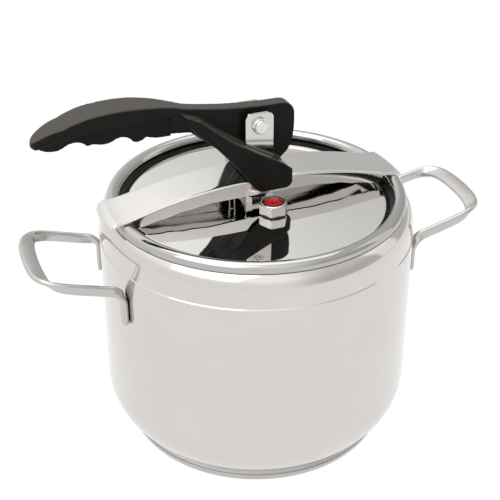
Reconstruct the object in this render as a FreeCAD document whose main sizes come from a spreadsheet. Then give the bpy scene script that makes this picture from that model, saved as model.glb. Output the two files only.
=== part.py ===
import FreeCAD, Part
import math
import os

import Sketcher

os.makedirs("parts", exist_ok=True)
doc = FreeCAD.newDocument("pressure_cooker")

# All lengths in millimetres. Z is up from the surface the pot stands on, the
# pot's axis is Z, X runs along the bridge and the lever, and -Y is the front.
SIZES = {
    # pot shell
    "body_radius": 111.0,
    "wall": 1.0,
    "floor_under": 4.0,
    "corner_radius": 36.0,
    "step_height": 155.5,
    "band_radius": 110.4,
    "crease_radius": 110.0,
    "crease_height": 165.3,
    # rolled rim
    "rim_radius": 100.2,
    "rim_height": 180.2,
    "rim_roll": 4.6,
    # base
    "cap_foot_radius": 93.5,
    "cap_lip_radius": 97.5,
    "cap_lip_height": 7.0,
    "cap_sheet": 0.8,
    # lid
    "lid_top": 180.2,
    "lid_edge": 177.5,
    "lid_seat": 179.65,
    "lid_wall_radius": 93.0,
    "lid_flange_radius": 102.5,
    "lid_flange_height": 169.5,
    "lid_sheet": 1.5,
    # bridge
    "bridge_half_width": 17.5,
    "bridge_end_half_width": 19.0,
    "bridge_sheet": 1.6,
    "bridge_top": 200.4,
    "bridge_end_radius": 109.5,
    # the bridge, the stud bracket and the lever stand a little to the left
    "bar_shift": -2.4,
    # stud bracket and pin
    "pivot_height": 237.4,
    "plate_half_width": 10.0,
    "plate_inner": 9.5,
    "plate_outer": 12.0,
    "plate_top": 245.7,
    "stud_base_top": 182.7,
    "pin_radius": 3.0,
    "pin_head_radius": 5.5,
    "pin_end_radius": 4.6,
    "bush_radius": 5.5,
    "bush_bore": 3.06,
    "bush_half_length": 9.3,
    # lever
    "web_half": 5.0,
    "arm_half": 11.5,
    "wing_half": 19.8,
    "channel_half": 18.2,
    "shoe_inner": 13.2,
    "shoe_outer": 17.6,
    "slot_inner": 9.0,
    "slot_outer": 12.6,
    "insert_half": 8.8,
    "screw_radius": 2.0,
    "screw_head_radius": 3.6,
    # relief valve, in front of the bridge
    "relief_x": 0.6,
    "relief_y": -29.5,
    "relief_flats": 17.6,
    "relief_top": 188.2,
    "stem_radius": 6.0,
    "core_radius": 5.9,
    "spring_radius": 4.2,
    "spring_low": 157.6,
    "spring_high": 165.6,
    # vent valve, behind the bridge
    "vent_x": 3.0,
    "vent_y": 45.0,
    "vent_seat": 179.15,
    "vent_flats": 14.0,
    "vent_stem_radius": 4.0,
    "vent_cap_radius": 9.0,
    "vent_cap_top": 195.5,
    "valve_gasket": 1.2,
    # side handles
    "handle_turn": -2.4,
}

sheet = doc.addObject("Spreadsheet::Sheet", "Sizes")
for row, (alias, value) in enumerate(SIZES.items(), start=1):
    sheet.set("A%d" % row, alias)
    sheet.set("B%d" % row, str(value))
    sheet.setAlias("B%d" % row, alias)
doc.recompute()

NEAR = 1e-6
nodes = []


def amount(text):
    """The number a sum such as "body_radius - wall" stands for."""
    total = 0.0
    sign = 1.0
    for word in text.split():
        if word == "+":
            sign = 1.0
        elif word == "-":
            sign = -1.0
        else:
            total += sign * (SIZES[word] if word in SIZES else float(word))
            sign = 1.0
    return total


def formula(text):
    """The same sum written for the spreadsheet's cells."""
    return " ".join("Sizes." + word if word in SIZES else word for word in text.split())


def opposite(text):
    """The sum with every sign turned round."""
    words = text.split()
    if words[0] != "-":
        words = ["+"] + words
    swapped = {"+": "-", "-": "+"}
    return " ".join(swapped.get(word, word) for word in words)


def arc_middle(start, end, radius, side):
    """The middle of a shallow arc that bulges to the left (side 1) or right (side -1)."""
    chord = end - start
    half = chord.Length / 2
    left = FreeCAD.Vector(-chord.y, chord.x, 0).normalize()
    rise = radius - math.sqrt(radius ** 2 - half ** 2)
    return (start + end) * 0.5 + left * (side * rise)


def pin_point(sketch, edge, place, across, up):
    """Hold one end of an edge at the given coordinates."""
    for kind, axis, text in (("DistanceX", -2, across), ("DistanceY", -1, up)):
        if abs(amount(text)) < NEAR:
            sketch.addConstraint(Sketcher.Constraint("PointOnObject", edge, place, axis))
        else:
            held = sketch.addConstraint(Sketcher.Constraint(kind, edge, place, amount(text)))
            sketch.setExpression("Constraints[%d]" % held, formula(text))


def draw(sketch, points):
    """Close an outline. A point with a radius and a side starts an arc to the next point."""
    spots = [FreeCAD.Vector(amount(p[0]), amount(p[1]), 0) for p in points]
    edges = []
    for i, point in enumerate(points):
        start, end = spots[i], spots[(i + 1) % len(spots)]
        if len(point) == 2:
            shape = Part.LineSegment(start, end)
        else:
            shape = Part.Arc(start, arc_middle(start, end, amount(point[2]), point[3]), end)
        edge = sketch.addGeometry(shape, False)
        forward = sketch.getPoint(edge, 1).distanceToPoint(start) < 1e-4
        edges.append((edge, 1 if forward else 2, 2 if forward else 1))
        if len(point) > 2:
            held = sketch.addConstraint(Sketcher.Constraint("Radius", edge, amount(point[2])))
            sketch.setExpression("Constraints[%d]" % held, formula(point[2]))
    for i, point in enumerate(points):
        edge, first, last = edges[i]
        following = edges[(i + 1) % len(edges)]
        sketch.addConstraint(Sketcher.Constraint("Coincident", edge, last, following[0], following[1]))
        pin_point(sketch, edge, first, point[0], point[1])


def ring(sketch, across, up, radius):
    """A circle held at the given centre."""
    centre = FreeCAD.Vector(amount(across), amount(up), 0)
    edge = sketch.addGeometry(Part.Circle(centre, FreeCAD.Vector(0, 0, 1), amount(radius)), False)
    held = sketch.addConstraint(Sketcher.Constraint("Radius", edge, amount(radius)))
    sketch.setExpression("Constraints[%d]" % held, formula(radius))
    pin_point(sketch, edge, 3, across, up)


def new_body(label):
    """A body that becomes one node of the assembly."""
    body = doc.addObject("PartDesign::Body", label)
    body.Label = label
    nodes.append(body)
    return body


def new_sketch(body, name, plane, height=None):
    """A sketch on one of the body's own planes, lifted along the plane's normal if asked."""
    sketch = body.newObject("Sketcher::SketchObject", name)
    for origin in body.Origin.OriginFeatures:
        if getattr(origin, "Role", "") == plane:
            sketch.AttachmentSupport = (origin, [""])
    sketch.MapMode = "FlatFace"
    if height is not None:
        sketch.AttachmentOffset = FreeCAD.Placement(FreeCAD.Vector(0, 0, amount(height)), FreeCAD.Rotation())
        sketch.setExpression("AttachmentOffset.Base.z", formula(height))
    return sketch


def turned(body, name, points, cut=False):
    """Turn an outline in the X-Z plane about the body's Z axis."""
    sketch = new_sketch(body, name + "Outline", "XZ_Plane")
    draw(sketch, points)
    kind = "PartDesign::Groove" if cut else "PartDesign::Revolution"
    feature = body.newObject(kind, name)
    feature.Profile = sketch
    feature.ReferenceAxis = (sketch, ["V_Axis"])
    feature.Angle = 360
    doc.recompute()
    return feature


def prism(body, name, sketch, depth, cut=False, both=True, reverse=False):
    """Extrude a sketch; both spreads the depth evenly to the two sides."""
    kind = "PartDesign::Pocket" if cut else "PartDesign::Pad"
    feature = body.newObject(kind, name)
    feature.Profile = sketch
    feature.SideType = "Symmetric" if both else "One side"
    feature.Reversed = reverse
    feature.Length = amount(depth)
    feature.setExpression("Length", formula(depth))
    doc.recompute()
    return feature


def side_prism(body, name, points, depth, cut=False):
    """Extrude an outline in the X-Z plane evenly to the front and back."""
    sketch = new_sketch(body, name + "Outline", "XZ_Plane")
    draw(sketch, points)
    return prism(body, name, sketch, depth, cut)


def slab(body, name, points, near, far, cut=False):
    """Extrude an outline in the X-Z plane between two distances behind the X-Z plane."""
    sketch = new_sketch(body, name + "Outline", "XZ_Plane", opposite(near))
    draw(sketch, points)
    return prism(body, name, sketch, far + " " + opposite(near), cut, both=False, reverse=not cut)


def hexagon(body, name, flats, low, high):
    """A hexagonal block with its flats the given distance apart."""
    block = body.newObject("PartDesign::AdditivePrism", name)
    for origin in body.Origin.OriginFeatures:
        if getattr(origin, "Role", "") == "XY_Plane":
            block.AttachmentSupport = (origin, [""])
    block.MapMode = "FlatFace"
    block.Polygon = 6
    block.setExpression("Circumradius", formula(flats) + " / sqrt(3)")
    block.setExpression("Height", formula(high + " " + opposite(low)))
    block.setExpression("AttachmentOffset.Base.z", formula(low))
    doc.recompute()


def stand_at(body, across, back):
    """Place a body drawn about its own Z axis at its spot in the assembly."""
    body.setExpression("Placement.Base.x", formula(across))
    body.setExpression("Placement.Base.y", formula(back))
    doc.recompute()


# ---------------------------------------------------------------- pot

# Drawn shell: flat floor, rounded corner, straight wall, a small step, a
# shoulder that curves in, and a rim rolled outwards over the shoulder.
pot = new_body("pot_body")
turned(pot, "Shell", [
    ("0", "floor_under"),
    ("body_radius - corner_radius", "floor_under", "corner_radius", -1),
    ("body_radius", "floor_under + corner_radius"),
    ("body_radius", "step_height"),
    ("band_radius", "step_height + 0.7"),
    ("crease_radius", "crease_height", "16", -1),
    ("rim_radius + 4.2", "rim_height - 2.3"),
    ("rim_radius - 0.8", "rim_height - 1.5", "3.4", 1),
    ("rim_radius - rim_roll + wall", "rim_height + 0.4", "rim_roll - wall", 1),
    ("rim_radius", "rim_height + rim_roll - wall", "rim_roll - wall", 1),
    ("rim_radius + 3.3", "rim_height - 1.45"),
    ("rim_radius + 4.25", "rim_height - 1.75", "rim_roll", -1),
    ("rim_radius", "rim_height + rim_roll", "rim_roll", -1),
    ("rim_radius - rim_roll", "rim_height + 0.2", "4.4", -1),
    ("rim_radius - 1.6", "rim_height - 2.4"),
    ("rim_radius + 3.6", "rim_height - 3.8", "15", 1),
    ("crease_radius - wall", "crease_height - 0.1"),
    ("band_radius - wall", "step_height + 0.4"),
    ("body_radius - wall", "step_height - 0.3"),
    ("body_radius - wall", "floor_under + corner_radius", "corner_radius - wall", 1),
    ("body_radius - corner_radius", "floor_under + wall"),
    ("0", "floor_under + wall"),
])

# Thin steel cup that closes the base.
cap = new_body("base_cap")
turned(cap, "Cup", [
    ("0", "0"),
    ("cap_foot_radius", "0", "5.6", -1),
    ("cap_lip_radius - 0.7", "5.2"),
    ("cap_lip_radius", "cap_lip_height"),
    ("cap_lip_radius - cap_sheet", "cap_lip_height"),
    ("cap_lip_radius - 0.7 - cap_sheet", "5.3", "4.8", 1),
    ("cap_foot_radius - 0.1", "cap_sheet"),
    ("0", "cap_sheet"),
])

# Aluminium disc between the cup and the shell; its top follows the shell's corner.
core = new_body("base_core")
turned(core, "Disc", [
    ("0", "cap_sheet"),
    ("cap_foot_radius - 0.1", "cap_sheet", "4.8", -1),
    ("cap_lip_radius - 0.7 - cap_sheet", "5.3"),
    ("cap_lip_radius - cap_sheet", "cap_lip_height"),
    ("cap_lip_radius - 1.6", "cap_lip_height + 0.2"),
    ("cap_lip_radius - 4.4", "cap_lip_height + 2"),
    ("0", "cap_lip_height + 2"),
])
turned(core, "ShellSeat", [
    ("0", "floor_under"),
    ("body_radius - corner_radius", "floor_under", "corner_radius", -1),
    ("body_radius", "floor_under + corner_radius"),
    ("0", "floor_under + corner_radius"),
], cut=True)

# ---------------------------------------------------------------- side handles


def strap_section(centre, wide, thick, width, thickness):
    """A rectangle with eased corners about a centre, wide along one direction and thick along the other."""
    wide = FreeCAD.Vector(*wide).normalize()
    thick = FreeCAD.Vector(*thick)
    thick = (thick - wide * thick.dot(wide)).normalize()
    centre = FreeCAD.Vector(*centre)
    outer_x, outer_y = width / 2, thickness / 2
    soft = 0.40 * thickness
    nick = soft * (1 - math.sqrt(0.5))
    corner = [(outer_x, outer_y - soft), (outer_x - nick, outer_y - nick), (outer_x - soft, outer_y)]
    spots = []
    for right, up in ((1, 1), (-1, 1), (-1, -1), (1, -1)):
        quarter = [(x * right, y * up) for x, y in corner]
        spots += quarter if right * up > 0 else quarter[::-1]
    points = [centre + wide * x + thick * y for x, y in spots]
    return Part.makePolygon(points + [points[0]])


# The strap's foot, from the weld strip on the wall out to the loop: centre,
# direction of the width, direction of the thickness, width, thickness.
STRAP_FOOT = [
    ((106.7, -37.4, 118.2), (0.33, 0.94, 0.0), (-0.94, 0.33, 0.0), 4.4, 2.4),
    ((106.75, -37.4, 119.6), (0.33, 0.94, 0.0), (-0.94, 0.33, 0.0), 6.4, 3.1),
    ((106.75, -37.4, 122.5), (0.33, 0.94, 0.0), (-0.94, 0.33, 0.0), 7.0, 3.2),
    ((106.75, -37.4, 130.0), (0.33, 0.94, 0.0), (-0.94, 0.33, 0.0), 7.0, 3.2),
    ((106.9, -37.4, 137.0), (0.25, 0.95, 0.1), (-0.94, 0.30, 0.1), 7.0, 3.2),
    ((108.8, -37.3, 142.0), (-0.40, 0.75, 0.45), (-0.60, -0.60, 0.5), 7.2, 3.4),
    ((113.0, -37.1, 144.9), (-0.30, 0.25, 0.92), (-0.05, -0.97, 0.25), 7.5, 3.5),
]

# Half of the loop, which lies in a rising plane: distance out, distance to the
# side, twist in degrees from upright (0) to flat (90), width, thickness.
LOOP = [
    (119.0, 37.0, 0, 7.5, 3.5),
    (129.0, 37.0, 0, 7.5, 3.5),
    (139.0, 36.9, 5, 7.5, 3.5),
    (147.2, 35.8, 22, 7.8, 3.5),
    (153.4, 32.6, 52, 8.8, 3.5),
    (157.4, 26.8, 78, 10.2, 3.5),
    (159.5, 18.8, 88, 11.0, 3.5),
    (160.4, 9.4, 90, 11.2, 3.5),
    (160.6, 0.0, 90, 11.2, 3.5),
]
LOOP_START_HEIGHT = 146.6
LOOP_SLOPE = 0.28


def loop_stations():
    """The loop's stations in the same form as the foot's."""
    rise = FreeCAD.Vector(-LOOP_SLOPE, 0, 1).normalize()
    stations = []
    for i, (out, aside, twist, width, thickness) in enumerate(LOOP):
        before = LOOP[max(i - 1, 0)]
        after = LOOP[i + 1] if i + 1 < len(LOOP) else (before[0], -before[1])
        along = FreeCAD.Vector(after[0] - before[0], before[1] - after[1], LOOP_SLOPE * (after[0] - before[0]))
        side = along.normalize().cross(rise)
        turn = math.radians(twist)
        wide = rise * math.cos(turn) + side * math.sin(turn)
        thick = side * math.cos(turn) - rise * math.sin(turn)
        height = LOOP_START_HEIGHT + LOOP_SLOPE * (out - LOOP[0][0])
        stations.append(((out, -aside, height), tuple(wide), tuple(thick), width, thickness))
    return stations


STRAP_STEPS = 4


def curve_through(before, start, end, after, share):
    """A value on the smooth curve from start to end, which also heeds its neighbours."""
    pull = 2 * start + (end - before) * share
    bend = 2 * before - 5 * start + 4 * end - after
    twist = 3 * start - before - 3 * end + after
    return (pull + bend * share ** 2 + twist * share ** 3) / 2


def smooth_stations():
    """Extra stations between the listed ones, so the strap bends without corners."""
    listed = STRAP_FOOT + loop_stations()
    rows = [list(centre + wide + thick) + [width, thickness] for centre, wide, thick, width, thickness in listed]
    rows = [rows[0]] + rows + [rows[-1]]
    stations = []
    for i in range(1, len(rows) - 2):
        for step in range(STRAP_STEPS):
            share = step / STRAP_STEPS
            stations.append([curve_through(*four, share) for four in zip(*rows[i - 1:i + 3])])
    stations.append(rows[-1])
    return stations


def strap_shape():
    """The handle as one solid through its sections, from one weld strip round to the other."""
    half = smooth_stations()
    other = [[-value if i in (1, 4, 7) else value for i, value in enumerate(row)] for row in half[-2::-1]]
    sections = [strap_section(row[0:3], row[3:6], row[6:9], row[9], row[10]) for row in half + other]
    return Part.makeLoft(sections, True, True)


# The twisted strap has no sketch plane of its own, so it is a shape from its sections.
for label, facing in (("right_handle", "0"), ("left_handle", "180")):
    handle = doc.addObject("Part::Feature", label)
    handle.Label = label
    handle.Shape = strap_shape()
    turn = float(facing) + SIZES["handle_turn"]
    handle.Placement = FreeCAD.Placement(FreeCAD.Vector(), FreeCAD.Rotation(FreeCAD.Vector(0, 0, 1), turn))
    handle.setExpression("Placement.Rotation.Angle", "(%s + Sizes.handle_turn) * 1 deg" % facing)
    nodes.append(handle)

# ---------------------------------------------------------------- bridge

bridge = new_body("bridge_bar")
side_prism(bridge, "Arch", [
    ("- 109.6", "183.4"),
    ("- 108.4", "184.5", "9", 1),
    ("- 103.5", "186.5"),
    ("- 98.5", "187", "61", -1),
    ("- 91", "188.3"),
    ("- 71", "193", "344", 1),
    ("0", "bridge_top", "344", 1),
    ("71", "193"),
    ("91", "188.3", "61", -1),
    ("98.5", "187"),
    ("103.5", "186.5", "9", 1),
    ("108.4", "184.5"),
    ("109.6", "183.4"),
    ("108.5", "182.2"),
    ("107.3", "183.3", "7.4", -1),
    ("103.2", "184.9"),
    ("98.3", "185.4"),
    ("93.6", "186.1"),
    ("91.6", "182.6", "2.6", -1),
    ("89", "180.8"),
    ("71", "183.6"),
    ("56", "186.6", "215", -1),
    ("40", "188.9"),
    ("- 40", "188.9", "215", -1),
    ("- 56", "186.6"),
    ("- 71", "183.6"),
    ("- 89", "180.8", "2.6", -1),
    ("- 91.6", "182.6"),
    ("- 93.6", "186.1"),
    ("- 98.3", "185.4"),
    ("- 103.2", "184.9", "7.4", -1),
    ("- 107.3", "183.3"),
    ("- 108.5", "182.2"),
], "bridge_end_half_width + bridge_end_half_width")

# Hollow of the pressing, which leaves a flange down both long edges.
side_prism(bridge, "Hollow", [
    ("- 94.6", "187.6 - bridge_sheet"),
    ("- 91", "188.3 - bridge_sheet"),
    ("- 71", "193 - bridge_sheet", "344", 1),
    ("0", "bridge_top - bridge_sheet", "344", 1),
    ("71", "193 - bridge_sheet"),
    ("91", "188.3 - bridge_sheet"),
    ("94.6", "187.6 - bridge_sheet"),
    ("94.6", "178"),
    ("- 94.6", "178"),
], "bridge_half_width + bridge_half_width - bridge_sheet - bridge_sheet", cut=True)

# Waisted plan with rounded corners and ends that follow the rim.
plan = new_sketch(bridge, "PlanOutline", "XY_Plane", "bridge_top")
draw(plan, [
    ("- 130", "- 40"),
    ("130", "- 40"),
    ("130", "40"),
    ("- 130", "40"),
])
draw(plan, [
    ("- 104.6", "- bridge_end_half_width"),
    ("- 90", "- 17.9"),
    ("- 70", "- bridge_half_width"),
    ("70", "- bridge_half_width"),
    ("90", "- 17.9"),
    ("104.6", "- bridge_end_half_width", "3.8", -1),
    ("108.4", "- 15.3", "bridge_end_radius", -1),
    ("108.4", "15.3", "3.8", -1),
    ("104.6", "bridge_end_half_width"),
    ("90", "17.9"),
    ("70", "bridge_half_width"),
    ("- 70", "bridge_half_width"),
    ("- 90", "17.9"),
    ("- 104.6", "bridge_end_half_width", "3.8", -1),
    ("- 108.4", "15.3", "bridge_end_radius", -1),
    ("- 108.4", "- 15.3", "3.8", -1),
])
prism(bridge, "Plan", plan, "60", cut=True)

# Two slots for the plates of the stud bracket.
slots = new_sketch(bridge, "PlateSlotOutline", "XY_Plane", "bridge_top")
for front, back in (("- plate_outer - 0.6", "- plate_inner + 0.6"), ("plate_inner - 0.6", "plate_outer + 0.6")):
    draw(slots, [
        ("- plate_half_width - 0.8", front),
        ("plate_half_width + 0.8", front),
        ("plate_half_width + 0.8", back),
        ("- plate_half_width - 0.8", back),
    ])
prism(bridge, "PlateSlots", slots, "20", cut=True)
stand_at(bridge, "bar_shift", "0")

# ---------------------------------------------------------------- lid

lid = new_body("lid_panel")
turned(lid, "Dome", [
    ("0", "lid_top - lid_sheet"),
    ("0", "lid_top", "1468.2", 1),
    ("lid_wall_radius - 4", "lid_edge", "4", 1),
    ("lid_wall_radius", "lid_edge - 4"),
    ("lid_wall_radius", "lid_flange_height + lid_sheet"),
    ("lid_flange_radius", "lid_flange_height + lid_sheet"),
    ("lid_flange_radius", "lid_flange_height"),
    ("lid_wall_radius - lid_sheet", "lid_flange_height"),
    ("lid_wall_radius - lid_sheet", "lid_edge - 4", "2.5", -1),
    ("lid_wall_radius - 4", "lid_edge - lid_sheet", "1466.7", -1),
])

# Flat seats for the valves.
for name, height, across, back in (("Relief", "lid_seat", "relief_x", "relief_y"),
                                   ("Vent", "vent_seat", "vent_x", "vent_y")):
    seat = new_sketch(lid, name + "SeatOutline", "XY_Plane", height)
    ring(seat, across, back, "9.8")
    prism(lid, name + "Seat", seat, "5", cut=True, both=False, reverse=True)
ports = new_sketch(lid, "ValveHoleOutline", "XY_Plane", "lid_top")
ring(ports, "relief_x", "relief_y", "stem_radius + 0.1")
ring(ports, "vent_x", "vent_y", "vent_stem_radius + 0.1")
prism(lid, "ValveHoles", ports, "20", cut=True)

gasket = new_body("lid_gasket")
turned(gasket, "Ring", [
    ("lid_wall_radius + 0.1", "lid_flange_height + lid_sheet"),
    ("lid_flange_radius", "lid_flange_height + lid_sheet"),
    ("lid_flange_radius + 0.6", "lid_flange_height + 3"),
    ("lid_flange_radius - 0.6", "lid_flange_height + 5.8", "3", 1),
    ("lid_wall_radius + 5", "lid_flange_height + 7.2", "6", 1),
    ("lid_wall_radius + 0.6", "lid_flange_height + 6.2"),
    ("lid_wall_radius + 0.1", "lid_flange_height + 5"),
])

# ---------------------------------------------------------------- stud bracket and pin

bracket = new_body("stud_bracket")
side_prism(bracket, "Plates", [
    ("- plate_half_width", "lid_top"),
    ("- plate_half_width", "plate_top - 4", "4", 1),
    ("- plate_half_width + 4", "plate_top"),
    ("plate_half_width - 4", "plate_top", "4", 1),
    ("plate_half_width", "plate_top - 4"),
    ("plate_half_width", "lid_top"),
], "plate_outer + plate_outer")
side_prism(bracket, "Gap", [
    ("- plate_half_width - 2", "stud_base_top"),
    ("plate_half_width + 2", "stud_base_top"),
    ("plate_half_width + 2", "plate_top + 2"),
    ("- plate_half_width - 2", "plate_top + 2"),
], "plate_inner + plate_inner", cut=True)
bore = new_sketch(bracket, "PinHoleOutline", "XZ_Plane")
ring(bore, "0", "pivot_height", "pin_radius + 0.02")
prism(bracket, "PinHole", bore, "60", cut=True)
stand_at(bracket, "bar_shift", "0")

# The pin and its washer are drawn upright and laid along Y by their placement.
LAID_BACK = FreeCAD.Rotation(FreeCAD.Vector(1, 0, 0), -90)


def lie_along_y(body):
    """Lay a body drawn about Z along Y, through the pivot."""
    body.Placement = FreeCAD.Placement(FreeCAD.Vector(SIZES["bar_shift"], 0, SIZES["pivot_height"]), LAID_BACK)
    body.setExpression("Placement.Base.x", "Sizes.bar_shift")
    body.setExpression("Placement.Base.z", "Sizes.pivot_height")
    doc.recompute()


pin = new_body("pivot_pin")
turned(pin, "Rivet", [
    ("0", "- plate_outer - 4.8"),
    ("pin_end_radius - 0.6", "- plate_outer - 4.8", "0.85", -1),
    ("pin_end_radius", "- plate_outer - 4.2"),
    ("pin_end_radius", "- plate_outer - 2.6"),
    ("pin_head_radius - 0.5", "- plate_outer - 2.6"),
    ("pin_head_radius", "- plate_outer - 2.1"),
    ("pin_head_radius", "- plate_outer"),
    ("pin_radius", "- plate_outer"),
    ("pin_radius", "plate_outer + 1.5"),
    ("pin_radius + 1.2", "plate_outer + 1.5"),
    ("pin_radius + 0.9", "plate_outer + 2.6", "5", -1),
    ("1.2", "plate_outer + 3.3"),
    ("0", "plate_outer + 3.3"),
])
lie_along_y(pin)

washer = new_body("pin_washer")
turned(washer, "Disc", [
    ("pin_radius + 0.02", "plate_outer"),
    ("pin_head_radius", "plate_outer"),
    ("pin_head_radius", "plate_outer + 1.1"),
    ("pin_head_radius - 0.4", "plate_outer + 1.5"),
    ("pin_radius + 0.02", "plate_outer + 1.5"),
])
lie_along_y(washer)

# ---------------------------------------------------------------- relief valve

relief = new_body("relief_valve_body")
turned(relief, "Stem", [
    ("3.2", "spring_high"),
    ("stem_radius - 0.6", "spring_high"),
    ("stem_radius", "spring_high + 0.6"),
    ("stem_radius", "lid_seat + valve_gasket"),
    ("8.6", "lid_seat + valve_gasket"),
    ("8.6", "relief_top - 0.8", "0.8", -1),
    ("7.8", "relief_top"),
    ("core_radius + 0.5", "relief_top"),
    ("core_radius + 0.3", "relief_top - 5.6"),
    ("3.2", "relief_top - 5.6"),
])
hexagon(relief, "Hexagon", "relief_flats", "lid_seat + valve_gasket", "relief_top - 0.6")
turned(relief, "Recess", [
    ("0", "relief_top - 5.6"),
    ("core_radius + 0.3", "relief_top - 5.6"),
    ("core_radius + 0.5", "relief_top + 1"),
    ("0", "relief_top + 1"),
], cut=True)
turned(relief, "Through", [
    ("0", "spring_high - 1"),
    ("3.2", "spring_high - 1"),
    ("3.2", "relief_top"),
    ("0", "relief_top"),
], cut=True)
turned(relief, "CornerChamfer", [
    ("relief_flats - 9", "relief_top + 0.2"),
    ("relief_flats - 4", "relief_top + 0.2"),
    ("relief_flats - 4", "relief_top - 3.6"),
], cut=True)
stand_at(relief, "relief_x", "relief_y")

relief_seal = new_body("relief_valve_seal")
turned(relief_seal, "Ring", [
    ("stem_radius + 0.1", "lid_seat"),
    ("9", "lid_seat"),
    ("9.4", "lid_seat + 0.4"),
    ("9.4", "lid_seat + valve_gasket"),
    ("stem_radius + 0.1", "lid_seat + valve_gasket"),
])
stand_at(relief_seal, "relief_x", "relief_y")


def locknut(label, flats, bore_radius, thickness, seat, across, back):
    """A hexagonal nut under the lid, with both sets of corners chamfered."""
    nut = new_body(label)
    under = seat + " - lid_sheet - 0.05"
    hexagon(nut, "Hexagon", flats, under + " - " + thickness, under)
    turned(nut, "Bore", [
        ("0", under + " - 10"),
        (bore_radius, under + " - 10"),
        (bore_radius, under + " + 1"),
        ("0", under + " + 1"),
    ], cut=True)
    turned(nut, "LowerChamfer", [
        (flats + " - " + str(amount(flats) / 2), under + " - " + thickness + " - 0.1"),
        (flats, under + " - " + thickness + " - 0.1"),
        (flats, under + " - " + thickness + " + 3.2"),
    ], cut=True)
    stand_at(nut, across, back)


locknut("relief_valve_locknut", "relief_flats", "stem_radius + 0.03", "4", "lid_seat", "relief_x", "relief_y")

relief_core = new_body("relief_valve_core")
turned(relief_core, "Button", [
    ("0", "spring_low - 1.2"),
    ("2.2", "spring_low - 1.2"),
    ("2.2", "spring_low"),
    ("2.6", "spring_low"),
    ("2.6", "relief_top - 5.5"),
    ("core_radius", "relief_top - 5.5"),
    ("core_radius", "relief_top - 1.6", "0.7", 1),
    ("core_radius - 0.7", "relief_top - 0.9"),
    ("3.4", "relief_top - 0.9", "2.4", -1),
    ("1.2", "relief_top - 1.4"),
    ("0", "relief_top - 1.4"),
])
for name, across, back in (("Long", "4", "0.7"), ("Short", "0.7", "4")):
    groove = new_sketch(relief_core, name + "GrooveOutline", "XY_Plane", "relief_top - 0.9")
    draw(groove, [("- " + across, "- " + back), (across, "- " + back), (across, back), ("- " + across, back)])
    prism(relief_core, name + "Groove", groove, "2", cut=True, both=False)
stand_at(relief_core, "relief_x", "relief_y")

retainer = new_body("relief_retainer")
turned(retainer, "Clip", [
    ("2.22", "spring_low - 1"),
    ("spring_radius + 0.6", "spring_low - 1"),
    ("spring_radius + 0.6", "spring_low"),
    ("2.22", "spring_low"),
])
stand_at(retainer, "relief_x", "relief_y")

spring = new_body("relief_spring")
wire = new_sketch(spring, "WireOutline", "XZ_Plane")
ring(wire, "spring_radius", "spring_low + 0.5", "0.4")
coil = spring.newObject("PartDesign::AdditiveHelix", "Coil")
coil.Profile = wire
coil.ReferenceAxis = (wire, ["V_Axis"])
coil.Mode = "height-turns-angle"
coil.Turns = 4
coil.Angle = 0
coil.setExpression("Height", "Sizes.spring_high - Sizes.spring_low - 1")
doc.recompute()
stand_at(spring, "relief_x", "relief_y")

# ---------------------------------------------------------------- vent valve

vent = new_body("vent_valve_body")
turned(vent, "Nozzle", [
    ("0.9", "164"),
    ("vent_stem_radius - 0.5", "164"),
    ("vent_stem_radius", "164.5"),
    ("vent_stem_radius", "vent_seat + valve_gasket"),
    ("6.8", "vent_seat + valve_gasket"),
    ("6.8", "vent_seat + 5"),
    ("2.6", "vent_seat + 5"),
    ("2.6", "vent_seat + 9"),
    ("1.6", "vent_seat + 11.5"),
    ("0.9", "vent_seat + 11.5"),
])
hexagon(vent, "Hexagon", "vent_flats", "vent_seat + valve_gasket", "vent_seat + 4.6")
turned(vent, "Through", [
    ("0", "163"),
    ("0.9", "163"),
    ("0.9", "vent_seat + 12"),
    ("0", "vent_seat + 12"),
], cut=True)
stand_at(vent, "vent_x", "vent_y")

vent_seal = new_body("vent_valve_seal")
turned(vent_seal, "Ring", [
    ("vent_stem_radius + 0.1", "vent_seat"),
    ("7", "vent_seat"),
    ("7.3", "vent_seat + 0.4"),
    ("7.3", "vent_seat + valve_gasket"),
    ("vent_stem_radius + 0.1", "vent_seat + valve_gasket"),
])
stand_at(vent_seal, "vent_x", "vent_y")

locknut("vent_valve_locknut", "vent_flats", "vent_stem_radius + 0.03", "3.5", "vent_seat", "vent_x", "vent_y")

vent_cap = new_body("vent_valve_cap")
turned(vent_cap, "Weight", [
    ("0", "vent_seat + 11.6"),
    ("1.8", "vent_seat + 11.6"),
    ("2.95", "vent_seat + 9"),
    ("2.95", "vent_seat + 5.4"),
    ("vent_cap_radius - 0.5", "vent_seat + 5.4"),
    ("vent_cap_radius", "vent_seat + 5.9"),
    ("vent_cap_radius", "vent_cap_top - 3", "3", 1),
    ("vent_cap_radius - 3", "vent_cap_top", "40", 1),
    ("1.5", "vent_cap_top + 0.4"),
    ("0", "vent_cap_top + 0.4"),
])
stand_at(vent_cap, "vent_x", "vent_y")

# ---------------------------------------------------------------- lever

lever = new_body("lever_body")

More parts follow.
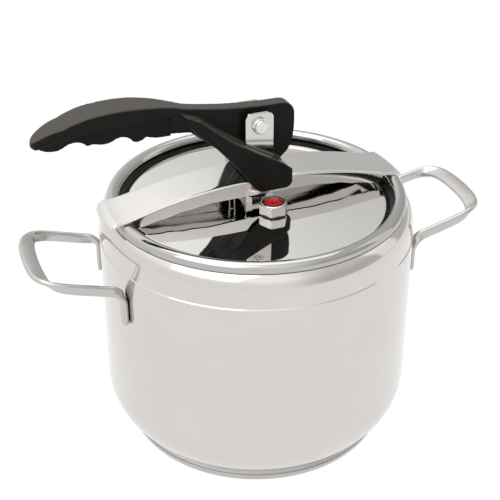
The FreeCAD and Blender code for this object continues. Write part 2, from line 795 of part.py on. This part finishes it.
# Arm: an arched beam along the top, rounded in plan.
side_prism(lever, "Arm", [
    ("- 151", "242.5", "7", 1),
    ("- 147", "248.5", "40", 1),
    ("- 131", "255.2", "70", 1),
    ("- 105", "261.5", "110", 1),
    ("- 75", "260.6", "120", 1),
    ("- 50", "254.5", "300", -1),
    ("- 26", "250.6"),
    ("- 26", "243"),
    ("- 52", "247.5"),
    ("- 60", "250", "30", 1),
    ("- 71", "251.2"),
    ("- 98", "251", "120", -1),
    ("- 130", "247.5", "60", -1),
    ("- 148", "241.6"),
], "arm_half + arm_half")
arm_plan = new_sketch(lever, "ArmPlanOutline", "XY_Plane", "bridge_top")
draw(arm_plan, [
    ("- 170", "- 40"),
    ("0", "- 40"),
    ("0", "40"),
    ("- 170", "40"),
])
draw(arm_plan, [
    ("- 150.6", "0", "7.6", -1),
    ("- 145.5", "- 6.8", "60", -1),
    ("- 124", "- 11", "160", -1),
    ("- 94", "- arm_half", "130", -1),
    ("- 66", "- 8.6", "90", 1),
    ("- 40", "- web_half"),
    ("- 10", "- web_half"),
    ("- 10", "web_half"),
    ("- 40", "web_half", "90", 1),
    ("- 66", "8.6", "130", -1),
    ("- 94", "arm_half", "160", -1),
    ("- 124", "11", "60", -1),
    ("- 145.5", "6.8", "7.6", -1),
])
prism(lever, "ArmPlan", arm_plan, "300", cut=True)

# Web: the narrow middle wall round the pivot, down to the foot.
side_prism(lever, "Web", [
    ("- 52", "253.9"),
    ("- 37", "251.9", "400", -1),
    ("20", "247.8", "9", 1),
    ("28.4", "240", "90", 1),
    ("27.6", "222", "40", 1),
    ("20", "206.5"),
    ("14", "201.6"),
    ("- 12", "201.6"),
    ("- 20", "213"),
    ("- 31", "226", "60", 1),
    ("- 46", "236.8"),
    ("- 60", "238.2"),
    ("- 60", "250"),
], "web_half + web_half")

# Wings: two legs that flare out over the bridge and hang down beside it.
side_prism(lever, "Wings", [
    ("- 52", "251"),
    ("- 41", "246.5", "150", -1),
    ("- 13", "226.5", "150", -1),
    ("3", "216.8", "80", 1),
    ("19.8", "206.2", "6", 1),
    ("22.8", "201.4"),
    ("22.8", "198", "7", 1),
    ("15.6", "191.2"),
    ("- 2", "191.2"),
    ("- 7", "195"),
    ("- 19", "212.5"),
    ("- 31", "226", "120", 1),
    ("- 45", "239", "60", 1),
], "wing_half + wing_half")
wing_plan = new_sketch(lever, "WingPlanOutline", "XY_Plane", "pivot_height - 15")
draw(wing_plan, [
    ("- 53", "- 40"),
    ("60", "- 40"),
    ("60", "- wing_half + 3.6"),
    ("22.6", "- wing_half + 3.6", "3.6", 1),
    ("19", "- wing_half"),
    ("- 10", "- wing_half", "30", 1),
    ("- 20", "- 19", "60", -1),
    ("- 40", "- 12.6"),
    ("- 53", "- 8.9"),
])
draw(wing_plan, [
    ("- 53", "40"),
    ("60", "40"),
    ("60", "wing_half - 3.6"),
    ("22.6", "wing_half - 3.6", "3.6", -1),
    ("19", "wing_half"),
    ("- 10", "wing_half", "30", -1),
    ("- 20", "19", "60", 1),
    ("- 40", "12.6"),
    ("- 53", "8.9"),
])
prism(lever, "WingPlan", wing_plan, "61", cut=True)

# Channel over the bridge. Its roof is the cam: it draws nearer to the pivot
# as the lever swings up, so the lid can sink as the lever opens.
CAM_ROOF = [
    ("0", "200.8", "36", -1),
    ("10.48", "203.13", "36", -1),
    ("20.1", "208.7", "36", -1),
    ("27.97", "217.81", "36", -1),
    ("32.6", "237.4"),
]
side_prism(lever, "Channel", [
    ("- 40", "180"),
    ("- 40", "200.8"),
] + CAM_ROOF + [
    ("60", "237.4"),
    ("60", "180"),
], "channel_half + channel_half", cut=True)

# Open slots that let the plates of the stud bracket pass through the wings.
for side in ("Near", "Far"):
    edge, inner = ("- slot_outer", "- slot_inner") if side == "Near" else ("slot_inner", "slot_outer")
    slot = new_sketch(lever, side + "SlotOutline", "XY_Plane", "pivot_height - 15")
    draw(slot, [
        ("- 10.8", edge),
        ("40", edge),
        ("40", inner),
        ("- 10.8", inner),
    ])
    prism(lever, side + "Slot", slot, "62", cut=True)

bush_hole = new_sketch(lever, "BushHoleOutline", "XZ_Plane")
ring(bush_hole, "0", "pivot_height", "bush_radius")
prism(lever, "BushHole", bush_hole, "60", cut=True)

# Steel shoes let into the channel's roof, one each side of the web.
SHOE = [
    ("- 9", "200.8"),
    ("0", "200.8", "36", -1),
    ("10.48", "203.13"),
    ("9.9", "205", "34", 1),
    ("0", "202.8"),
    ("- 9", "202.8"),
]
slab(lever, "FarShoeSeat", SHOE, "shoe_inner", "shoe_outer", cut=True)
slab(lever, "NearShoeSeat", SHOE, "- shoe_outer", "- shoe_inner", cut=True)

# Blind holes for the two screws of the grip insert.
screw_spots = (("front", "- 121"), ("rear", "- 74"))
screw_holes = new_sketch(lever, "ScrewHoleOutline", "XY_Plane", "250")
for name, across in screw_spots:
    ring(screw_holes, across, "0", "screw_radius")
prism(lever, "ScrewHoles", screw_holes, "12", cut=True)
stand_at(lever, "bar_shift", "0")

for label, near, far in (("cam_shoe_near", "- shoe_outer", "- shoe_inner"),
                         ("cam_shoe_far", "shoe_inner", "shoe_outer")):
    shoe = new_body(label)
    slab(shoe, "Plate", SHOE, near, far)
    stand_at(shoe, "bar_shift", "0")

bush = new_body("lever_bush")
turned(bush, "Tube", [
    ("bush_bore", "- bush_half_length"),
    ("bush_radius", "- bush_half_length"),
    ("bush_radius", "bush_half_length"),
    ("bush_bore", "bush_half_length"),
])
lie_along_y(bush)

# Finger grip under the arm, with a waved underside.
insert = new_body("grip_insert")
side_prism(insert, "Grip", [
    ("- 147", "241.8", "60", 1),
    ("- 130", "247.5", "120", 1),
    ("- 98", "251"),
    ("- 71", "251.2", "30", -1),
    ("- 60", "250"),
    ("- 60", "237.4"),
    ("- 66", "237.6", "30", 1),
    ("- 77", "240.4", "9", 1),
    ("- 86", "238.6", "9", -1),
    ("- 98", "242", "14", 1),
    ("- 109", "240.6", "10", -1),
    ("- 116", "240.6", "10", -1),
    ("- 129", "243", "14", 1),
    ("- 144", "240.6"),
], "insert_half + insert_half")
grip_plan = new_sketch(insert, "GripPlanOutline", "XY_Plane", "240")
draw(grip_plan, [
    ("- 170", "- 40"),
    ("0", "- 40"),
    ("0", "40"),
    ("- 170", "40"),
])
draw(grip_plan, [
    ("- 146", "- 4.6"),
    ("- 126", "- 8.6", "160", -1),
    ("- 94", "- insert_half", "130", -1),
    ("- 66", "- 6.6"),
    ("- 56", "- 6.2"),
    ("- 56", "6.2"),
    ("- 66", "6.6", "130", -1),
    ("- 94", "insert_half", "160", -1),
    ("- 126", "8.6"),
    ("- 146", "4.6"),
])
prism(insert, "GripPlan", grip_plan, "80", cut=True)
insert_holes = new_sketch(insert, "ScrewHoleOutline", "XY_Plane", "250")
for name, across in screw_spots:
    ring(insert_holes, across, "0", "screw_radius + 0.02")
prism(insert, "ScrewHoles", insert_holes, "40", cut=True)
insert_sinks = new_sketch(insert, "ScrewSinkOutline", "XY_Plane", "245")
for name, across in screw_spots:
    ring(insert_sinks, across, "0", "screw_head_radius + 0.2")
prism(insert, "ScrewSinks", insert_sinks, "20", cut=True, both=False)
stand_at(insert, "bar_shift", "0")

for name, across in screw_spots:
    screw = new_body("grip_screw_" + name)
    turned(screw, "Screw", [
        ("0", "243"),
        ("screw_head_radius - 0.5", "243"),
        ("screw_head_radius", "243.5"),
        ("screw_head_radius", "245"),
        ("screw_radius", "245"),
        ("screw_radius", "255.6"),
        ("screw_radius - 0.4", "256"),
        ("0", "256"),
    ])
    stand_at(screw, across + " + bar_shift", "0")

# ---------------------------------------------------------------- check and write

doc.recompute()
for item in doc.Objects:
    for word in ("Invalid", "Error"):
        if word in item.State:
            raise RuntimeError("%s is %s" % (item.Name, item.State))
for node in nodes:
    shape = node.Shape
    if shape.isNull() or not shape.isValid() or len(shape.Solids) != 1:
        raise RuntimeError("%s has a bad shape" % node.Label)
    shape.exportStep("parts/%s.step" % node.Label)
    print("%-22s %10.1f mm3" % (node.Label, shape.Volume))
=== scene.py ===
import math

import bmesh
import bpy
from mathutils import Euler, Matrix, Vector


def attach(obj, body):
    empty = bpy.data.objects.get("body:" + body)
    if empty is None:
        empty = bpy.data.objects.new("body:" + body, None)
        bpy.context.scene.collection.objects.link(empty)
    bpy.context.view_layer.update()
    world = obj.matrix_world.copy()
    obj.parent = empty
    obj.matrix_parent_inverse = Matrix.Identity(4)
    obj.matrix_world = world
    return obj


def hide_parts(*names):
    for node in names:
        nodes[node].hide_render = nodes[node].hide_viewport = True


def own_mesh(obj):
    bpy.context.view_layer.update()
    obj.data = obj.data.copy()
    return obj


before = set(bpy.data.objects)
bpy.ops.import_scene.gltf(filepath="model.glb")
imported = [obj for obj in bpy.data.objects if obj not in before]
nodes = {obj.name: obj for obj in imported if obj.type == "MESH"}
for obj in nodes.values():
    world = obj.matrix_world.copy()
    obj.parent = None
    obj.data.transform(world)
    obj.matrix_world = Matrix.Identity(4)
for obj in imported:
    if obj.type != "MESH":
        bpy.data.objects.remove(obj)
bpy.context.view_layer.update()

# Lengths of the object are in millimetres until a mesh is made; the studio's are in metres.
MM = 0.001
LATHE_STEPS = 288


# ---------------------------------------------------------------- mesh helpers

def bow(start, end, radius, side, steps=10):
    """Points of a shallow arc from start to end that bulges left (1) or right (-1)."""
    start, end = Vector(start), Vector(end)
    chord = end - start
    half = chord.length / 2
    left = Vector((-chord.y, chord.x)).normalized()
    rise = radius - math.sqrt(radius ** 2 - half ** 2)
    centre = (start + end) / 2 + left * side * (rise - radius)
    spread = math.asin(half / radius)
    points = []
    for i in range(steps + 1):
        angle = -spread + 2 * spread * i / steps
        along = chord.normalized() * math.sin(angle) * radius
        points.append(centre + along + left * side * math.cos(angle) * radius)
    return points


def outline(corners):
    """Dense points of a closed outline. A corner with a radius and a side starts an arc."""
    points = []
    for i, corner in enumerate(corners):
        here, there = corner[:2], corners[(i + 1) % len(corners)][:2]
        if len(corner) > 2:
            points += bow(here, there, corner[2], corner[3])[:-1]
        else:
            points.append(Vector(here))
    return points


def finish_mesh(name, mesh, material, body, replaced, sharp):
    """Make a shaded object of a mesh, put it on its body and let it stand for CAD nodes.

    Corners of more than sharp degrees are shaded as edges.
    """
    work = bmesh.new()
    work.from_mesh(mesh)
    bmesh.ops.recalc_face_normals(work, faces=work.faces)
    work.to_mesh(mesh)
    work.free()
    for face in mesh.polygons:
        face.use_smooth = True
    mesh.set_sharp_from_angle(angle=math.radians(sharp))
    piece = bpy.data.objects.new(name, mesh)
    bpy.context.scene.collection.objects.link(piece)
    mesh.materials.clear()
    mesh.materials.append(material)
    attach(piece, body)
    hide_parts(*replaced)
    return piece


def lathe(name, corners, material, body, replaced, sharp):
    """Turn a closed outline of (radius, height) corners about the pot's axis."""
    verts, rings = [], []
    for point in outline(corners):
        if point.x < 1e-6:
            rings.append([len(verts)])
            verts.append((0, 0, point.y * MM))
            continue
        rings.append([len(verts) + i for i in range(LATHE_STEPS)])
        for i in range(LATHE_STEPS):
            angle = 2 * math.pi * i / LATHE_STEPS
            verts.append((point.x * math.cos(angle) * MM, point.x * math.sin(angle) * MM, point.y * MM))
    faces = []
    for i, ring in enumerate(rings):
        other = rings[(i + 1) % len(rings)]
        if len(ring) == 1 and len(other) == 1:
            continue
        for j in range(LATHE_STEPS):
            k = (j + 1) % LATHE_STEPS
            if len(ring) == 1:
                faces.append((ring[0], other[k], other[j]))
            elif len(other) == 1:
                faces.append((ring[j], ring[k], other[0]))
            else:
                faces.append((ring[j], ring[k], other[k], other[j]))
    mesh = bpy.data.meshes.new(name)
    mesh.from_pydata(verts, [], faces)
    return finish_mesh(name, mesh, material, body, replaced, sharp)


def cad_copy(node):
    """A welded copy of a CAD node's mesh, with flat areas merged."""
    mesh = nodes[node].data.copy()
    work = bmesh.new()
    work.from_mesh(mesh)
    bmesh.ops.remove_doubles(work, verts=work.verts, dist=2e-6)
    bmesh.ops.dissolve_limit(work, angle_limit=math.radians(1), verts=work.verts, edges=work.edges)
    work.to_mesh(mesh)
    work.free()
    return mesh


def apply_modifiers(piece):
    """Bake a piece's modifiers into its mesh."""
    graph = bpy.context.evaluated_depsgraph_get()
    mesh = bpy.data.meshes.new_from_object(piece.evaluated_get(graph))
    piece.modifiers.clear()
    piece.data = mesh
    return mesh


def eased(node, name, material, body, width):
    """A CAD node with its edges eased by a small bevel."""
    edge_angle = 30
    piece = finish_mesh(name, cad_copy(node), material, body, [node], edge_angle)
    bevel = piece.modifiers.new("ease", "BEVEL")
    bevel.width = width * MM
    bevel.segments = 3
    bevel.limit_method = "ANGLE"
    bevel.angle_limit = math.radians(edge_angle)
    bevel.use_clamp_overlap = True
    bevel.harden_normals = True
    apply_modifiers(piece)


def moulded(node, name, material, body, voxel, rounds):
    """A CAD node remeshed and softened all over, as a moulded piece is."""
    piece = finish_mesh(name, cad_copy(node), material, body, [node], 35)
    remesh = piece.modifiers.new("skin", "REMESH")
    remesh.mode = "VOXEL"
    remesh.voxel_size = voxel * MM
    soft = piece.modifiers.new("soften", "SMOOTH")
    soft.factor = 0.5
    soft.iterations = rounds
    mesh = apply_modifiers(piece)
    for face in mesh.polygons:
        face.use_smooth = True


# ---------------------------------------------------------------- materials

NOISE_LOW, NOISE_HIGH = 0.3, 0.7  # most of a noise texture's values lie between these


def shader(name, colour, metallic, roughness, **extra):
    """A new material; returns it with its node tree and main shader."""
    material = bpy.data.materials.new(name)
    material.use_nodes = True
    tree = material.node_tree
    main = tree.nodes["Principled BSDF"]
    main.inputs["Base Color"].default_value = (*colour, 1)
    main.inputs["Metallic"].default_value = metallic
    main.inputs["Roughness"].default_value = roughness
    for socket, value in extra.items():
        main.inputs[socket.replace("_", " ")].default_value = value
    return material, tree, main


def noise(tree, scale, detail, stretch=(1, 1, 1)):
    """Noise over object coordinates, in features per metre."""
    place = tree.nodes.new("ShaderNodeTexCoord")
    mapping = tree.nodes.new("ShaderNodeMapping")
    mapping.inputs["Scale"].default_value = stretch
    texture = tree.nodes.new("ShaderNodeTexNoise")
    texture.inputs["Scale"].default_value = scale
    texture.inputs["Detail"].default_value = detail
    tree.links.new(place.outputs["Object"], mapping.inputs["Vector"])
    tree.links.new(mapping.outputs["Vector"], texture.inputs["Vector"])
    return texture.outputs["Fac"]


def map_range(tree, source, start, end, low, high, kind="LINEAR"):
    """Map a value from start..end onto low..high."""
    ramp = tree.nodes.new("ShaderNodeMapRange")
    ramp.interpolation_type = kind
    ramp.inputs["From Min"].default_value = start
    ramp.inputs["From Max"].default_value = end
    ramp.inputs["To Min"].default_value = low
    ramp.inputs["To Max"].default_value = high
    tree.links.new(source, ramp.inputs["Value"])
    return ramp.outputs["Result"]


def tint(tree, source, first, second):
    """Blend two colours by a noise value."""
    ramp = tree.nodes.new("ShaderNodeValToRGB")
    ramp.color_ramp.elements[0].position = NOISE_LOW
    ramp.color_ramp.elements[0].color = (*first, 1)
    ramp.color_ramp.elements[1].position = NOISE_HIGH
    ramp.color_ramp.elements[1].color = (*second, 1)
    tree.links.new(source, ramp.inputs["Fac"])
    return ramp.outputs["Color"]


def bumps(tree, main, source, depth):
    """Raise the surface by a noise value, depth in millimetres."""
    bump = tree.nodes.new("ShaderNodeBump")
    bump.inputs["Distance"].default_value = depth * MM
    tree.links.new(source, bump.inputs["Height"])
    tree.links.new(bump.outputs["Normal"], main.inputs["Normal"])


def steel(name, bright, rough, grain, grain_scale, depth, smudge=0.02):
    """Stainless steel: faint cloudy smudges in the polish and a fine grain.

    grain stretches the grain along x, y and z, grain_scale is its features per metre, depth is in
    millimetres and smudge is the roughness that a smudge adds.
    """
    dull = tuple(value * 0.965 for value in bright)
    material, tree, main = shader(name, bright, 1.0, rough)
    clouds = noise(tree, 26, 4)
    clouded = map_range(tree, clouds, NOISE_LOW, NOISE_HIGH, rough, rough + smudge)
    tree.links.new(tint(tree, clouds, dull, bright), main.inputs["Base Color"])
    tree.links.new(clouded, main.inputs["Roughness"])
    bumps(tree, main, noise(tree, grain_scale, 2, grain), depth)
    return material


def moulding(name, dark, light, rough_low, rough_high, scale, depth, **extra):
    """Moulded plastic or rubber: slight colour change and a fine pebbled skin."""
    material, tree, main = shader(name, dark, 0.0, rough_low, **extra)
    broad = noise(tree, 60, 3)
    worn = map_range(tree, broad, NOISE_LOW, NOISE_HIGH, rough_low, rough_high)
    tree.links.new(tint(tree, broad, dark, light), main.inputs["Base Color"])
    tree.links.new(worn, main.inputs["Roughness"])
    bumps(tree, main, noise(tree, scale, 4), depth)
    return material


def paint_top_sheen(material, painted_sheen):
    """Blend a moulding's upward faces towards a lighter colour: a painted sheen, light from above painted
    into the base colour.
    """
    tree = material.node_tree
    main = tree.nodes["Principled BSDF"]
    place = tree.nodes.new("ShaderNodeTexCoord")
    parts = tree.nodes.new("ShaderNodeSeparateXYZ")
    blend = tree.nodes.new("ShaderNodeMixRGB")
    blend.inputs["Color2"].default_value = (*painted_sheen, 1)
    skin = main.inputs["Base Color"].links[0].from_socket
    tree.links.new(place.outputs["Normal"], parts.inputs["Vector"])
    upward = map_range(tree, parts.outputs["Z"], 0.1, 0.85, 0, 1, "SMOOTHSTEP")
    tree.links.new(upward, blend.inputs["Fac"])
    tree.links.new(skin, blend.inputs["Color1"])
    tree.links.new(blend.outputs["Color"], main.inputs["Base Color"])


body_steel = steel("BodySteel", (0.655, 0.632, 0.612), 0.12, (1, 1, 0.04), 1400, 0.0015)
lid_steel = steel("LidSteel", (0.785, 0.77, 0.75), 0.03, (1, 1, 1), 500, 0.0006, 0.015)
# the rim steel is the body steel darkened: painted shade on the rolled rim; the base cup and vent cap use
# the same darker steel
shaded_rim_steel = steel("ShadedRimSteel", (0.49, 0.478, 0.465), 0.07, (1, 1, 1), 700, 0.001)
bridge_steel = steel("BridgeSteel", (0.72, 0.705, 0.69), 0.09, (0.03, 1, 1), 2200, 0.003)
strap_steel = steel("StrapSteel", (0.54, 0.525, 0.51), 0.20, (1, 0.1, 0.1), 1800, 0.004, 0.05)
plate_steel = steel("PlateSteel", (0.62, 0.61, 0.595), 0.035, (1, 1, 0.05), 1800, 0.002, 0.03)
turned_steel = steel("TurnedSteel", (0.76, 0.75, 0.74), 0.18, (1, 1, 0.2), 2400, 0.004, 0.06)
core_metal = steel("CoreAluminium", (0.74, 0.74, 0.75), 0.35, (1, 1, 1), 1500, 0.01, 0.08)
black = moulding("BlackMoulding", (0.0050, 0.0048, 0.0040), (0.0075, 0.0070, 0.0060), 0.33, 0.40,
                 2600, 0.02, Specular_IOR_Level=0.13)
# painted sheen: the lever moulding's upward faces are lightened in its base colour
paint_top_sheen(black, (0.054, 0.049, 0.043))
grip_black = moulding("GripMoulding", (0.0050, 0.0048, 0.0042), (0.0075, 0.0070, 0.0062), 0.40, 0.48,
                      2200, 0.04, Specular_IOR_Level=0.12)
rubber = moulding("BlackSilicone", (0.008, 0.008, 0.008), (0.014, 0.014, 0.014), 0.45, 0.6, 1800, 0.02)
red = moulding("RedPlastic", (0.50, 0.010, 0.016), (0.60, 0.02, 0.025), 0.16, 0.24, 1500, 0.006,
               Coat_Weight=0.6, Coat_Roughness=0.08)


# ---------------------------------------------------------------- pot

def make_pot():
    outside = [(0, 4), (75, 4, 36, -1), (111, 40), (111, 155.5), (110.4, 156.2), (110, 165.3, 16, -1)]
    rolled_rim = [
        (104.4, 177.9), (99.4, 178.7, 3.4, 1), (96.6, 180.6, 3.6, 1), (100.2, 183.8, 3.6, 1),
        (103.5, 178.75), (104.45, 178.45, 4.6, -1), (100.2, 184.8, 4.6, -1), (95.6, 180.4, 4.4, -1),
    ]
    inside = [
        (98.6, 177.8), (103.8, 176.4, 15, 1), (109, 165.2), (109.4, 155.9), (110, 155.2),
        (110, 40, 35, 1), (75, 5), (0, 5),
    ]
    shell = lathe("pot_shell", outside + rolled_rim + inside, body_steel, "pot", ["pot_body"], sharp=25)
    # faces above the rim's foot take the darkened rim steel, painted shade on the rolled rim of the same
    # sheet
    shell.data.materials.append(shaded_rim_steel)
    rim_foot = 178.5 * MM
    for face in shell.data.polygons:
        if face.center.z > rim_foot:
            face.material_index = 1
    lathe("base_cup", [
        (0, 0), (93.3, 0, 6, -1), (96.6, 3.6), (97.2, 5.6), (97.5, 6.7, 0.5, -1), (97.1, 7), (96.75, 7),
        (96, 5.3, 4.8, 1), (93.4, 0.8), (0, 0.8),
    ], shaded_rim_steel, "pot", ["base_cap"], sharp=40)


make_pot()


# ---------------------------------------------------------------- bridge

BAR_SHIFT = -2.4  # the bridge's middle stands left of the pot's axis
BAR_SHEET = 1.6
BAR_REACH = 109.5  # from the bridge's middle to the tip of its rounded end
ARCH_CROWN, ARCH_RADIUS, ARCH_REACH = 200.4, 344, 71
SLOPE_REACH, RIM_REACH = 91, 103.5


def bridge_top(x, y):
    """Height of the bridge's upper face: an arch, a slope, a flat bow up to the rim and a dipping end."""
    reach = abs(x)
    if reach < ARCH_REACH:
        return ARCH_CROWN - ARCH_RADIUS + math.sqrt(ARCH_RADIUS ** 2 - reach ** 2)
    if reach < SLOPE_REACH:
        return 193 - 4.7 * (reach - ARCH_REACH) / (SLOPE_REACH - ARCH_REACH)
    if reach < RIM_REACH:
        share = (reach - SLOPE_REACH) / (RIM_REACH - SLOPE_REACH)
        return 188.3 - 2.9375 * share + 1.1375 * share ** 2
    past_rim = max(math.hypot(x, y) - RIM_REACH, 0)
    return 186.5 - 0.14 * (reach - RIM_REACH) - 0.062 * past_rim ** 2


def flange_bottom(x):
    """Height of the flange's lower edge, eased from stop to stop; it ends just inside the rim."""
    stops = ((0, 188.9), (36, 188.9), (56, 186.6), (71, 183.7), (87, 181.0), (90.4, 181.1), (92.4, 185.7),
             (112, 183.0))
    reach = abs(x)
    (start, low), (end, high) = next(pair for pair in zip(stops, stops[1:]) if reach <= pair[1][0])
    share = (reach - start) / (end - start)
    return low + (high - low) * share * share * (3 - 2 * share)


def bridge_half_width(reach):
    """Half the bridge's width, which flares towards the rim and rounds off at the end's corners."""
    half, end_half, corner = 17.5, 19.0, 4.4
    flared = half + (end_half - half) * max((reach - 70) / 36, 0) ** 1.5
    tail = max(reach - 105, 0)
    return flared - corner + math.sqrt(max(corner ** 2 - tail ** 2, 0))


def bridge_section(half):
    """(y, drop) once round the bridge's channel. A drop of None is the flange's lower edge."""
    ease, fillet = 1.6, 0.4
    quarter = [math.radians(angle) for angle in range(0, 91, 15)]
    outer = [(-half, None)]
    outer += [(-half + ease * (1 - math.cos(a)), ease * (1 - math.sin(a))) for a in quarter]
    outer += [(-half + ease + (half - ease) * k / 6, 0) for k in range(1, 6)]
    wall = half - BAR_SHEET
    inner = [(wall, None), (wall, BAR_SHEET + fillet), (wall - fillet, BAR_SHEET)]
    return (outer + [(0, 0)] + [(-y, drop) for y, drop in reversed(outer)]
            + inner + [(0, BAR_SHEET)] + [(-y, drop) for y, drop in reversed(inner)])


def make_bridge():
    stations = 260
    verts = []
    for i in range(stations + 1):
        along = -1 + 2 * i / stations
        section = bridge_section(bridge_half_width(abs(along) * BAR_REACH))
        for y, drop in section:
            bulge = BAR_REACH - math.sqrt(BAR_REACH ** 2 - y * y)
            x = along * (BAR_REACH - bulge * abs(along) ** 8)
            top = bridge_top(x, y)
            low = min(flange_bottom(x), top - BAR_SHEET - 0.05)
            z = low if drop is None else max(top - drop, low)
            verts.append(((x + BAR_SHIFT) * MM, y * MM, z * MM))
    count = len(section)
    faces = []
    for i in range(stations):
        for j in range(count):
            k = (j + 1) % count
            a, b = i * count, (i + 1) * count
            faces.append((a + j, a + k, b + k, b + j))
    faces.append(tuple(range(count)))
    faces.append(tuple(stations * count + j for j in reversed(range(count))))
    mesh = bpy.data.meshes.new("bridge")
    mesh.from_pydata(verts, [], faces)
    finish_mesh("bridge_strip", mesh, bridge_steel, "pot", ["bridge_bar"], 40)


make_bridge()


# ---------------------------------------------------------------- handles

for node, name in (("left_handle", "left_loop"), ("right_handle", "right_loop")):
    finish_mesh(name, cad_copy(node), strap_steel, "pot", [node], 60)


# ---------------------------------------------------------------- lid

def make_lid():
    lathe("lid_dome", [
        (0, 178.7), (0, 180.2, 1468.2, 1), (89, 177.5, 4, 1), (93, 173.5), (93, 171), (102.5, 171),
        (102.5, 169.5), (91.5, 169.5), (91.5, 173.5, 2.5, -1), (89, 176.0, 1466.7, -1),
    ], lid_steel, "lid_set", ["lid_panel"], sharp=30)
    lathe("lid_ring", [
        (93.1, 171), (102.5, 171), (103.1, 172.5), (101.9, 175.3, 3, 1), (98, 176.7, 6, 1), (93.6, 175.7),
        (93.1, 174.5),
    ], rubber, "lid_set", ["lid_gasket"], sharp=35)


make_lid()


# ---------------------------------------------------------------- fork and bush

eased("stud_bracket", "stud_fork", plate_steel, "lid_set", 0.4)
eased("lever_bush", "pivot_bush", turned_steel, "lever", 0.2)


# ---------------------------------------------------------------- relief spring

def make_spring():
    """The coil under the hexagon, carried on the red core."""
    coil = finish_mesh("relief_coil", nodes["relief_spring"].data.copy(), turned_steel, "relief_core",
                       ["relief_spring"], 60)
    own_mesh(coil)


make_spring()


# ---------------------------------------------------------------- lever

moulded("lever_body", "lever_moulding", black, "lever", 0.6, 6)
moulded("grip_insert", "grip_moulding", grip_black, "lever", 0.6, 5)


# ---------------------------------------------------------------- CAD nodes that stay

KEPT = {
    "base_core": core_metal,
    "pivot_pin": turned_steel,
    "pin_washer": turned_steel,
    "relief_valve_body": turned_steel,
    "relief_valve_seal": rubber,
    "relief_valve_locknut": turned_steel,
    "relief_valve_core": red,
    "relief_retainer": turned_steel,
    "vent_valve_body": turned_steel,
    "vent_valve_seal": rubber,
    "vent_valve_locknut": turned_steel,
    "vent_valve_cap": shaded_rim_steel,
    "cam_shoe_near": plate_steel,
    "cam_shoe_far": plate_steel,
    "grip_screw_front": turned_steel,
    "grip_screw_rear": turned_steel,
}
for node, material in KEPT.items():
    for material_slot in nodes[node].material_slots:
        material_slot.material = material


# ---------------------------------------------------------------- studio

def area_light(name, spot, aim, wide, high, power):
    """A soft rectangular light that faces a point, power in watts."""
    data = bpy.data.lights.new(name, "AREA")
    data.shape = "RECTANGLE"
    data.size, data.size_y = wide, high
    data.energy = power
    lamp = bpy.data.objects.new(name, data)
    lamp.location = spot
    lamp.rotation_euler = (Vector(aim) - Vector(spot)).to_track_quat("-Z", "Y").to_euler()
    bpy.context.scene.collection.objects.link(lamp)


def make_floor():
    """A white floor that glows almost evenly, with only a faint shadow under the pot."""
    reach = 6.0
    corners = [(-reach, -reach, 0), (reach, -reach, 0), (reach, reach, 0), (-reach, reach, 0)]
    mesh = bpy.data.meshes.new("studio_floor")
    mesh.from_pydata(corners, [], [(0, 1, 2, 3)])
    mesh.materials.append(shader("StudioFloor", (0.06, 0.06, 0.06), 0.0, 0.9, Emission_Color=(1, 1, 1, 1),
                                 Emission_Strength=0.96, Specular_IOR_Level=0.0)[0])
    floor = bpy.data.objects.new("studio_floor", mesh)
    bpy.context.scene.collection.objects.link(floor)


def make_sky():
    """An even sky that dims to the right and brightens overhead."""
    world = bpy.data.worlds.new("StudioWorld")
    bpy.context.scene.world = world
    world.use_nodes = True
    tree = world.node_tree
    sky = tree.nodes["Background"]
    place = tree.nodes.new("ShaderNodeTexCoord")
    parts = tree.nodes.new("ShaderNodeSeparateXYZ")
    tree.links.new(place.outputs["Generated"], parts.inputs["Vector"])
    across = map_range(tree, parts.outputs["X"], -0.05, 0.5, 1.14, 0.68, "SMOOTHSTEP")
    upward = map_range(tree, parts.outputs["Z"], 0.30, 0.66, 0.90, 1.13, "SMOOTHSTEP")
    product = tree.nodes.new("ShaderNodeMath")
    product.operation = "MULTIPLY"
    tree.links.new(across, product.inputs[0])
    tree.links.new(upward, product.inputs[1])
    tree.links.new(product.outputs["Value"], sky.inputs["Strength"])
    sky.inputs["Color"].default_value = (1.0, 0.995, 0.985, 1)


def make_camera():
    """The photo's angle: from the front left, looking down at about 31 degrees."""
    data = bpy.data.cameras.new("camera")
    data.lens = 78.35
    data.sensor_width = 36
    data.clip_end = 20
    camera = bpy.data.objects.new("camera", data)
    camera.location = (-0.2549, -0.6246, 0.5359)
    camera.rotation_euler = Euler((math.radians(59.21), 0, math.radians(-21.84)))
    bpy.context.scene.collection.objects.link(camera)
    bpy.context.scene.camera = camera


make_floor()
make_sky()
area_light("key", (-0.9, -0.5, 1.5), (0, 0, 0.15), 1.3, 1.3, 6)
area_light("top", (0.0, 0.35, 1.6), (0, 0, 0.2), 1.6, 1.0, 5)
area_light("right", (1.5, -0.3, 0.8), (0, 0, 0.12), 0.6, 1.4, 1.2)
bpy.context.scene.view_settings.view_transform = "Standard"
make_camera()
